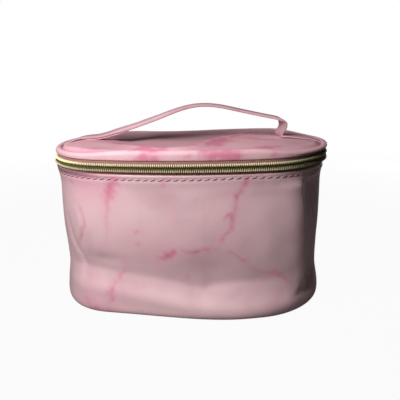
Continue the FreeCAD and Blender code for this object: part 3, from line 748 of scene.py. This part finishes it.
def gold_coil(name):
    """Thin gold film on nylon, bright on the loops' backs; painted shade turns it dark olive towards the
    heads and towards the zip's right end.
    """
    gold = Finish(name)
    wear = gold.noise(gold.place(), 900.0, 3.0)
    # Painted shade in the recess where the loops' heads interlock, with a little random variation.
    head_shade = 1 - gold.between(gold.printed("across"), 0.7, 1.3)
    tone = gold.mixed(head_shade + 0.25 * (wear - 0.5), (1.0, 0.90, 0.52, 1), (0.13, 0.10, 0.035, 1))
    # The painted shade at the right end mixes in a darker olive.
    end_shaded = gold.mixed(gold.printed("right_end_shade") * 0.9, tone, (0.09, 0.085, 0.025, 1))
    return gold.surface({"Base Color": end_shaded, "Metallic": 0.24 - 0.1 * head_shade,
                         "Roughness": 0.27 + 0.18 * wear, "Normal": gold.bump(wear, 0.2, 0.0001)})


def core_cord(name, stop, side, body):
    """The cord inside a coil: a round tube along the zip, flattened in its outward direction."""
    run = np.linspace(zip_start, stop, 420)
    flat, outward = zip_line(run, 0.1)
    path = np.concatenate([flat, np.full((len(run), 1), chain_middle + side * 1.5)], -1)
    round_cord = tube(path, upward, np.ones(len(run)), sides=8)
    out = np.concatenate([outward, np.zeros((len(run), 1))], -1)[:, None]
    pressed = round_cord - 0.72 * ((round_cord - path[:, None]) * out).sum(-1, keepdims=True) * out
    prints = {"run": with_ends(run), "rise": 0.0}
    piece(name, capped(pressed), (False, True), body, cord_finish, prints, weld=True)


coil_finish = gold_coil("gold_coil")
cord_finish = grained(
    "olive_core_cord", "ShaderNodeTexNoise", {"Scale": 1500.0, "Detail": 2.0},
    tones=[(0.03, 0.024, 0.01, 1), (0.07, 0.055, 0.02, 1)], roughness=(0.8, 0.1))
lower_coil = coil_filament("lower_coil", zip_stop, side=-1, reach=1.45, phase=0.0, body="case")
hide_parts("lower_zip_coil")
core_cord("lower_coil_core", zip_stop, side=-1, body="case")

# Rear hinge: a strip of the skin across the back joins lid and wall, and a woven tape backs it. Both bend
# when the lid opens; here they are built in place from the case below to the lid above, on neither body.
hinge_thick = np.array([0.9, 0])
hinge_run = np.linspace(hinge_right - girth, hinge_left, 180)
hinge_outer = smooth_line([
    (0.9, 116.4), (0.35, 117.4), (-0.1, 119.5), (-0.5, 122.4), (-0.1, 125.4), (0.35, 127.4),
    (0.9, 128.6)], 26)
hinge_section = np.concatenate([hinge_outer, (hinge_outer + hinge_thick)[::-1]])
hinge_grid = capped(carried_round(hinge_run, hinge_section[None, :, 0], hinge_section[None, :, 1]))
hinge_veins = [
    (0.8, 3.0, [(-20, 116), (-12, 122), (-14, 129)]),
    (0.7, 3.0, [(26, 116), (34, 121), (30, 129)]),
]
hinge_strip = piece(
    "hinge_strip_skin", hinge_grid, (False, True), None, skin_finish,
    {"vein": vein_print(hinge_grid[..., 0], hinge_grid[..., 2], hinge_veins), "painted_shade": 0.0}, weld=True)
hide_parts("rear_hinge_strip")
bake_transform(hinge_strip)
backing_run = np.linspace(hinge_run[0], hinge_run[-1], 120)
backing_section = tape_section(low=tape_foot, high=130.4, count=22)
hinge_backing = tape_piece("hinge_backing_tape", backing_run, backing_section, None)
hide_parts("rear_hinge_backing")
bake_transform(hinge_backing)

# Lid band: the skin rolled over a soft filler into a round rim. Its lower edge is sewn to the upper zip
# tape and its inner edge to the lid's panel, and it sags at the back where nothing holds it up.


def lid_sag(x, y):
    """How far the lid's top hangs below its even height (mm): two soft hollows along the back."""
    return 3.6 * hump(x, -14, 62) * ease(y, 12, 62) + 0.4 * hump(x, 78, 30) * ease(y, 20, 58)


def end_push(run):
    """How far the lid's right end leans out over the zip (mm)."""
    return 3.0 * ease(np.abs(run - girth / 4), 64, 20)


def rim_fill(run):
    """1 along the lid's front and back, where the rim is full, and 0 round its two ends."""
    return ease(np.abs(run), 112, 70) + ease(np.abs(run), 176, 220)


def right_slump(x, y):
    """1 at the lid's right end, where the rim lies down on the zip, sooner at the front than at the back."""
    return ease(x + 0.35 * np.clip(-y, 0, 60), 74, 108)


def end_slump(x, y):
    """The share by which the lid's rim is squashed down towards its two ends."""
    return 0.46 * ease(0.3 * np.clip(-y, 0, 60) - x, 50, 108) + 0.5 * right_slump(x, y)


band_low = 127.0
roll_top = 134.7
band_outside = smooth_line([
    (1.72, band_low), (1.2, 127.1), (0.85, 127.7), (0.72, 129.2), (0.78, 131.2), (1.1, 132.6), (1.9, 133.9),
    (3.1, 134.6), (4.4, 134.4), (5.4, 133.4), (5.85, 132.2)], 44)
band_inside = smooth_line([
    (5.78, 131.5), (5.2, 131.3), (4.4, 132.3), (3.3, 133.1), (2.3, 132.6), (1.66, 131.0), (1.6, 129.2)], 18)
band_section = np.concatenate([band_outside, band_inside])
band_run = evenly_round(560)[:, None]
band_inset = band_section[None, :, 0]
band_high = band_section[None, :, 1]
band_fill = rim_fill(band_run)
past_crown = ease(band_inset, 3.2, 5.8)
band_plan, _ = oval(band_run, band_inset - end_push(band_run) * ease(band_high, 127.9, 130.5))
band_x = band_plan[..., 0]
band_y = band_plan[..., 1]
band_filled = band_high + 0.75 * band_fill * past_crown * (roll_top - band_high)
band_rise = band_low + (band_filled - band_low) * (1 - end_slump(band_x, band_y))
band_rise = band_rise - lid_sag(band_x, band_y) * ease(band_rise, 128.6, 134.6)
band_rise = band_rise + 0.22 * np.sin(band_run / 14 + 0.7) * np.sin(band_run / 37) * ease(band_high, 130, 134)
unrolled = 1 + 0.013 * np.clip(134.5 - band_high, 0, None)
lid_veins = [
    (1.60, 11.0, [(-37, -54), (-30, -55), (-20, -57), (-13, -56)]),
    (1.10, 10.0, [(-34, -66), (-25, -68), (-15, -69)]),
    (1.50, 10.0, [(18, -62), (32, -64), (47, -63)]),
    (0.60, 8.0, [(2, -66), (10, -66)]),
    (1.25, 5.0, [(-60, -27), (-42, -34), (-28, -46), (-14, -51), (0, -48), (11, -41), (17, -32)]),
    (1.50, 14.0, [(23, -41), (27, -28), (33, -8)]),
    (0.95, 6.5, [(34, -8), (41, 6), (49, 20), (58, 32)]),
    (1.10, 9.0, [(51, -50), (60, -49), (66, -46), (73, -41)]),
    (0.80, 7.0, [(68, -60), (74, -57)]),
    (0.60, 9.0, [(-76, -8), (-62, -20), (-50, -30)]),
    (0.55, 9.0, [(-78, -44), (-62, -50)]),
    (0.70, 4.0, [(-92, 18), (-80, 28), (-70, 34), (-60, 50)]),
    (0.60, 3.4, [(-24, 6), (-10, 26), (3, 36), (8, 62)]),
    (0.70, 4.0, [(84, 16), (92, 24), (86, 34), (92, 44)]),
    (0.70, 3.0, [(40, 46), (52, 52), (60, 62)]),
    (0.70, 4.0, [(-108, -10), (-111, 14)]),
    (0.95, 6.0, [(101, 4), (104, -8), (105, -18)]),
]
# Painted shade in the seam groove along the band's inner edge, round the lid's two ends and weaker at the
# right.
band_shade = 0.8 * ease(band_inset, 4.9, 5.6) * (1 - band_fill) * (1 - 0.6 * right_slump(band_x, band_y))
lid_band = piece(
    "lid_band_skin", with_height(band_plan, band_rise), (True, True), "lid", skin_finish,
    {"vein": vein_print(band_x * unrolled, band_y * unrolled, lid_veins), "blush": 0.4, "run": band_run,
     "pleat": ease(band_high, 133.2, 130) * ease(band_inset, 2.0, 1.5), "painted_shade": band_shade})
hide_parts("lid_band")

# Lid panel: an oval of the same skin over thin foam, let into the band by a sunk seam. It has two full
# lobes at the front and a slack hollow behind them that the strap hangs over.
panel_spokes = 480
panel_shares = np.r_[1.0, 0.99, 0.975, np.linspace(0.955, 0, 60)]
panel_run = evenly_round(panel_spokes)[:, None]
_, panel_outward = oval(panel_run, 0)
panel_push = end_push(panel_run) * ease(panel_shares, 0.8, 1.0)
panel_plan = oval_disc(5.75, panel_spokes, panel_shares) + panel_push[..., None] * panel_outward
panel_x = panel_plan[..., 0]
panel_y = panel_plan[..., 1]
panel_sag = 0.75
seam_fill = rim_fill(panel_run)
seam_rise = 126.85 + (5.2 + 1.85 * seam_fill) * (1 - end_slump(panel_x[:, :1], panel_y[:, :1]))
hollow_edge = smooth_line([
    (-108, 34), (-92, 2), (-74, -16), (-55, -28), (-38, -38), (-24, -47), (-10, -50), (4, -45.5), (13, -36),
    (21, -20), (33, 2), (53, 28), (78, 58)], 120)
strap_bed = [
    (-105, 130.6), (-98, 132.2), (-92, 133.6), (-84, 134.1), (-74, 133.8), (-56, 132.2), (60, 132.6),
    (77, 133.6), (92, 132.8), (105, 131.4)]


def past_edge(x, y):
    """How far a spot lies behind the front edge of the panel's hollow (mm)."""
    return y - read_off(x, hollow_edge)


def panel_height(x, y):
    """The panel's height (mm): a swelling up to the hollow's edge, lobes left and right, less the hollow."""
    past = past_edge(x, y)
    swell = 1.9 * ease(past, -17, -1) * (1 - 0.6 * ease(x, 15, 50)) * (1 - 0.7 * ease(-x, 26, 50))
    lobes = dents(x, y, [(1.0, (-62, -22), (34, 20)), (1.2, (56, -24), (38, 26))])
    depth = (1.9 + 1.9 * ease(x, 62, 20)) * (1 - 0.7 * ease(y, 8, 50))
    hollow = depth * ease(past, -1, 12 + 20 * ease(-x, 30, 80))
    slump = 2.0 * ease(-x, 80, 106) + 2.0 * right_slump(x, y)
    level = 133.6 + swell + lobes - hollow - slump
    under_strap = hump(y, 0, 11) * ease(np.abs(x), 46, 66)
    return level * (1 - under_strap) + read_off(x, strap_bed) * under_strap


inward = ease(panel_shares, 1.0, 0.94)[None]
panel_rise = seam_rise * (1 - inward) + panel_height(panel_x, panel_y) * inward
panel_rise = panel_rise - panel_sag * lid_sag(panel_x, panel_y)
panel_rise = panel_rise + 0.12 * np.sin(panel_x / 8 + panel_y / 15) * np.sin(panel_y / 6) * inward
# Painted shade on the panel: in the seam groove round its ends, in the hollow behind the swelling, and in
# soft patches under and behind the strap and over the left lobe.
edge_shade = 0.9 * hump(panel_shares, 1.0, 0.014) * (1 - 0.9 * seam_fill)
edge_shade = edge_shade * (1 - 0.5 * right_slump(panel_x, panel_y))
hollow_shade = 0.3 * ease(past_edge(panel_x, panel_y), 0, 12) * ease(panel_x, 66, 10) * ease(-panel_x, 96, 60)
panel_shade = edge_shade + hollow_shade + dents(panel_x, panel_y, [
    (0.3, (-66, 22), (14, 14)), (0.72, (-48, 27), (44, 20)), (0.3, (14, 40), (44, 13)),
    (0.5, (-8, 13), (38, 15)), (0.3, (-60, -24), (34, 15)), (0.25, (-64, -45), (30, 9))])
lid_panel = piece(
    "lid_panel_skin", with_height(panel_plan, panel_rise), (True, False), "lid", skin_finish,
    {"vein": vein_print(panel_x, panel_y, lid_veins), "blush": 0.75, "painted_shade": panel_shade}, weld=True)


def thicken(sheet, name, thickness):
    """Give a sheet a wall of so many millimetres, under its outer face."""
    wall = sheet.modifiers.new(name, "SOLIDIFY")
    wall.thickness = thickness * mm


thicken(lid_panel, "skin", 1.0)
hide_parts("lid_top_panel")

# Lid foam, seam binding and lining, under the panel: a foam oval, the bound edge of the panel's seam, and
# the lid's own oval of lining cloth.


def hung_height(flat):
    """The panel's height (mm) at plan points, less its share of the lid's sag."""
    return panel_height(flat[..., 0], flat[..., 1]) - panel_sag * lid_sag(flat[..., 0], flat[..., 1])


lid_foam_plan = oval_disc(inset=12.2, count=200, shares=np.linspace(1, 0, 20))
lid_foam_high = np.minimum(129.8, hung_height(lid_foam_plan) - 1.4)
lid_foam = piece(
    "lid_foam", with_height(lid_foam_plan, lid_foam_high), (True, False), "lid",
    foam_finish, weld=True)
thicken(lid_foam, "foam", 0.9)
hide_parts("lid_padding")
seam_binding = bound_edge(
    "lid_seam_tape", "lid", inset=10.2, height=129.5, half_width=1.6, half_thick=0.6, weave_radius=1.6)
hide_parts("lid_seam_binding")
cloth_shares = np.linspace(0, 1, 34)
cloth_plan = oval_disc(inset=2.4, count=300, shares=cloth_shares)
cloth_drop = np.clip(131.2 - hung_height(cloth_plan), 0, None) * ease(cloth_shares, 1.0, 0.8)
cloth_wave = 0.14 * np.sin(cloth_plan[..., 0] / 12 + 0.5) * np.sin(cloth_plan[..., 1] / 8)
lid_lining = oval_cloth("lid_lining_cloth", cloth_plan, 128.0 - cloth_drop + cloth_wave, "lid")
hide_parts("lid_lining")

# Upper zip tape and coil: the same zip's other half, sewn inside the lid's band. The last stretch of the
# tape, in the parked slider, is a piece of its own, built in place on neither body.
upper_stop = run_at(422.5)
upper_section = tape_section(low=123.7, high=128.7, count=10)
upper_tape = tape_piece("upper_tape", along_tape(hinge_left, upper_stop), upper_section, "lid")
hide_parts("upper_zip_tape")
tape_end = tape_piece("upper_tape_last", along_tape(upper_stop + 0.2, hinge_right), upper_section, None)
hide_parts("upper_tape_end")
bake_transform(tape_end)
upper_coil = coil_filament("upper_coil", upper_stop, side=1, reach=1.28, phase=0.5, body="lid")
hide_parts("upper_zip_coil")
core_cord("upper_coil_core", upper_stop, side=1, body="lid")

# Handle strap: one flat strap of the skin, folded and edge-pressed. Its ends lie on the panel and go into
# the end seams; it lifts slowly on the left, arches over, and folds back sharply on the right. At the
# left a second layer, the strap's turned-back tail, lies under it.
strap_line = [
    (-107, 129.7), (-102.5, 131.5), (-98, 133.2), (-92, 135.0), (-84, 135.9), (-75, 136.7), (-66, 138.9),
    (-56, 141.6), (-45, 144.6), (-35, 147.9), (-24, 151.6), (-14, 155.2), (-4, 158.4), (6, 160.5),
    (13.5, 161.0), (26, 160.0), (40.5, 156.9), (55, 153.6), (67, 151.0), (73, 149.7), (77, 147.9),
    (78.7, 145.2), (78.6, 142.6), (77.3, 139.8), (75.9, 137.6), (76.4, 135.9), (79.5, 135.0), (87, 134.3),
    (95, 133.4), (103, 132.1), (109.6, 129.7)]
strap_width = 12.0
strap_path = smooth_line(strap_line, 420)
strap_x = strap_path[:, :1]
strap_z = strap_path[:, 1:]
strap_level = np.zeros_like(strap_x)
strap_middle = np.concatenate([strap_x, strap_level, strap_z], -1)
strap_heading = np.gradient(strap_path, axis=0)
strap_heading = strap_heading / np.linalg.norm(strap_heading, axis=1, keepdims=True)
strap_up = np.concatenate([-strap_heading[:, 1:], strap_level, strap_heading[:, :1]], -1)
strap_fold = ease(strap_z, 134.8, 136.6) * ease(strap_z, 150, 146) * ease(strap_x, 60, 70)
strap_right_end = ease(strap_x, 76, 84) * ease(strap_z, 137, 135.6)
strap_thick = 2.3 + 0.7 * ease(strap_x, 25, -25) - 0.4 * strap_fold - 1.1 * strap_right_end
strap_thick = strap_thick - 0.8 * ease(strap_x, -52, -68) - 1.0 * ease(strap_x, -84, -97)
strap_skew = -0.12 * ease(strap_x, 20, -40) * ease(strap_x, -92, -60) * strap_up
strap_skew[:, :1] = strap_skew[:, :1] + 0.42 * strap_fold


def strap_shell(rows, drop, thick, width):
    """A flat strap along some rows of its path, dropped below it: a rounded oblong for a section.

    Its front edge is skewed off its rear edge, so that a face shows.
    """
    turn = np.linspace(0, 2 * math.pi, 40, endpoint=False)
    side = np.sign(np.cos(turn)) * np.abs(np.cos(turn)) ** 0.28 * width / 2
    lift = np.sign(np.sin(turn)) * np.abs(np.sin(turn)) ** 0.5 * thick / 2
    across = (strap_skew[rows] - np.array([0.0, 1.0, 0.0]))[:, None]
    up = strap_up[rows][:, None]
    middle = (strap_middle[rows] - strap_up[rows] * drop)[:, None]
    return capped(middle + across * side[:, None] + up * lift[..., None])


whole_strap = np.full(len(strap_path), True)
strap_grid = strap_shell(whole_strap, drop=0.0, thick=strap_thick, width=strap_width)
strap_run = with_ends(np.r_[0, np.cumsum(np.linalg.norm(np.diff(strap_path, axis=0), axis=1))])
# Painted shade on the strap: a share that varies along it, and more on the inner face of the right fold.
strap_shade_along = [(-100, 0.5), (-75, 0.5), (-50, 0.28), (-20, 0.3), (10, 0.5), (40, 0.4), (70, 0.2)]
strap_shade = with_ends(0.55 * strap_fold[:, 0] + read_off(strap_path[:, 0], strap_shade_along))
strap_veins = [
    (0.6, 6.0, [(40, -4), (52, 3)]),
    (0.7, 5.0, [(96, 6), (108, -2), (112, -6)]),
    (0.6, 6.0, [(150, -6), (163, 4)]),
    (0.7, 5.0, [(205, -6), (214, 6)]),
]
handle_strap = piece(
    "handle_strap_skin", strap_grid, (False, True), None, skin_finish,
    {"vein": vein_print(strap_run, strap_grid[..., 1], strap_veins), "blush": 0.2, "painted_shade": strap_shade},
    weld=True)
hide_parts("handle_end_left", "handle_strap", "handle_end_right")
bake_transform(handle_strap)
tail_rows = (strap_path[:, 0] < -49) & (strap_path[:, 0] > -90)
tail_x = strap_x[tail_rows]
tail_thick = 0.25 + 0.9 * ease(tail_x, -50, -62) * ease(tail_x, -90, -82)
tail_drop = (strap_thick[tail_rows] + tail_thick) / 2
tail_grid = strap_shell(tail_rows, drop=tail_drop, thick=tail_thick, width=strap_width - 0.6)
# The tail, a lower layer under the strap, carries an even painted shade.
strap_tail = piece(
    "handle_tail_skin", tail_grid, (False, True), None, skin_finish,
    {"vein": 0.3, "blush": 0.9, "painted_shade": 0.3}, weld=True)
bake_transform(strap_tail)

# Slider, pull ring and pull tab: gold-plated cast zinc, hung one from the other. They are rigid, so the
# frame's own solids stay, in a plate with a slight haze and fine scratches.
plate = Finish("gold_plate")
plate_place = plate.place()
plate_haze = plate.noise(plate_place, 260.0, 4.0)
plate_scratch = plate.noise(plate_place, 2400.0, 2.0)
plate_tone = plate.mixed(plate_haze, (0.82, 0.62, 0.30, 1), (0.90, 0.74, 0.44, 1))
plate_finish = plate.surface({"Base Color": plate_tone, "Metallic": 1.0, "Roughness": 0.2 + 0.2 * plate_haze,
                              "Normal": plate.bump(plate_scratch, 0.08, 0.0001)})
for metal_part in ("zip_slider", "pull_ring", "pull_tab"):
    refinish(metal_part, plate_finish)

# Floor, light and camera. A pale floor that keeps the shadow, one soft key light from the front left, a low
# light behind for the back, and the camera where the photograph was taken.


def rays(finish):
    """The rays that look at a surface, and those that mirror or look through to it."""
    seen = finish.node("ShaderNodeLightPath", {}, {}, "Is Camera Ray")
    mirrored = finish.node("ShaderNodeLightPath", {}, {}, "Is Glossy Ray")
    return seen, mirrored + finish.node("ShaderNodeLightPath", {}, {}, "Is Transmission Ray")


floor_finish = Finish("pale_floor")
floor_seen, floor_mirrored = rays(floor_finish)
floor_away = floor_finish.node(
    "ShaderNodeVectorMath", {"operation": "LENGTH"}, {0: floor_finish.place()}, "Value")
floor_far = floor_finish.between(floor_away, 0.3, 0.8)
floor_cloth = floor_finish.node("ShaderNodeBsdfDiffuse", {}, {"Color": (0.22, 0.215, 0.215, 1)})
floor_white = floor_finish.node("ShaderNodeEmission", {}, {"Color": (1, 1, 1, 1), "Strength": 1.0})
floor_share = (0.955 + 0.045 * floor_far) * floor_seen + 0.1 * floor_mirrored
floor_mix = floor_finish.node("ShaderNodeMixShader", {}, {0: floor_share, 1: floor_cloth, 2: floor_white})
floor_finish.node("ShaderNodeOutputMaterial", {}, {"Surface": floor_mix})
floor_reach = 6.0
floor_mesh = bpy.data.meshes.new("floor")
floor_mesh.from_pydata(
    [(-floor_reach, -floor_reach, 0), (floor_reach, -floor_reach, 0),
     (floor_reach, floor_reach, 0), (-floor_reach, floor_reach, 0)], [], [(0, 1, 2, 3)])
floor = bpy.data.objects.new("floor", floor_mesh)
bpy.context.scene.collection.objects.link(floor)
floor.data.materials.append(floor_finish.material)

sky = Finish("studio", "worlds")
sky_seen, sky_mirrored = rays(sky)
sky_dim = sky.node("ShaderNodeBackground", {}, {"Color": (1, 0.98, 0.98, 1), "Strength": 0.022})
sky_white = sky.node("ShaderNodeBackground", {}, {"Color": (1, 1, 1, 1), "Strength": 1.0})
sky_mix = sky.node("ShaderNodeMixShader", {}, {0: sky_seen + 0.1 * sky_mirrored, 1: sky_dim, 2: sky_white})
sky.node("ShaderNodeOutputWorld", {}, {"Surface": sky_mix})
bpy.context.scene.world = sky.material


def soft_light(name, place, aim, size, power):
    """A square softbox at a place, turned to its aim."""
    lamp = bpy.data.lights.new(name, "AREA")
    lamp.size = size
    lamp.energy = power
    made = bpy.data.objects.new(name, lamp)
    made.location = place
    made.visible_camera = False
    made.rotation_euler = (Vector(aim) - Vector(place)).to_track_quat("-Z", "Y").to_euler()
    bpy.context.scene.collection.objects.link(made)


soft_light("key", place=(-0.173, -0.291, 0.37), aim=(-0.01, 0, 0.09), size=0.2, power=2.13)
soft_light("back", place=(0.33, 0.52, 0.07), aim=(0, 0, 0.06), size=0.14, power=1.1)

camera_place = Vector((0.0439, -0.3938, 0.1968))
camera_yaw = -0.111
camera_pitch = 0.288
camera_roll = -0.028
level_ahead = Vector((math.sin(camera_yaw), math.cos(camera_yaw), 0))
ahead = level_ahead * math.cos(camera_pitch) - Vector((0, 0, math.sin(camera_pitch)))
level_right = Vector((math.cos(camera_yaw), -math.sin(camera_yaw), 0))
upright = level_right.cross(ahead)
rolled_right = level_right * math.cos(camera_roll) + upright * math.sin(camera_roll)
rolled_up = upright * math.cos(camera_roll) - level_right * math.sin(camera_roll)
camera_data = bpy.data.cameras.new("camera")
camera_data.sensor_width = 36.0
camera_data.lens = 42.58
camera_data.shift_x = 0.0268
camera = bpy.data.objects.new("camera", camera_data)
turned = Matrix((rolled_right, rolled_up, -ahead)).transposed().to_4x4()
turned.translation = camera_place
camera.matrix_world = turned
bpy.context.scene.collection.objects.link(camera)
bpy.context.scene.camera = camera
bpy.context.scene.view_settings.view_transform = "Standard"
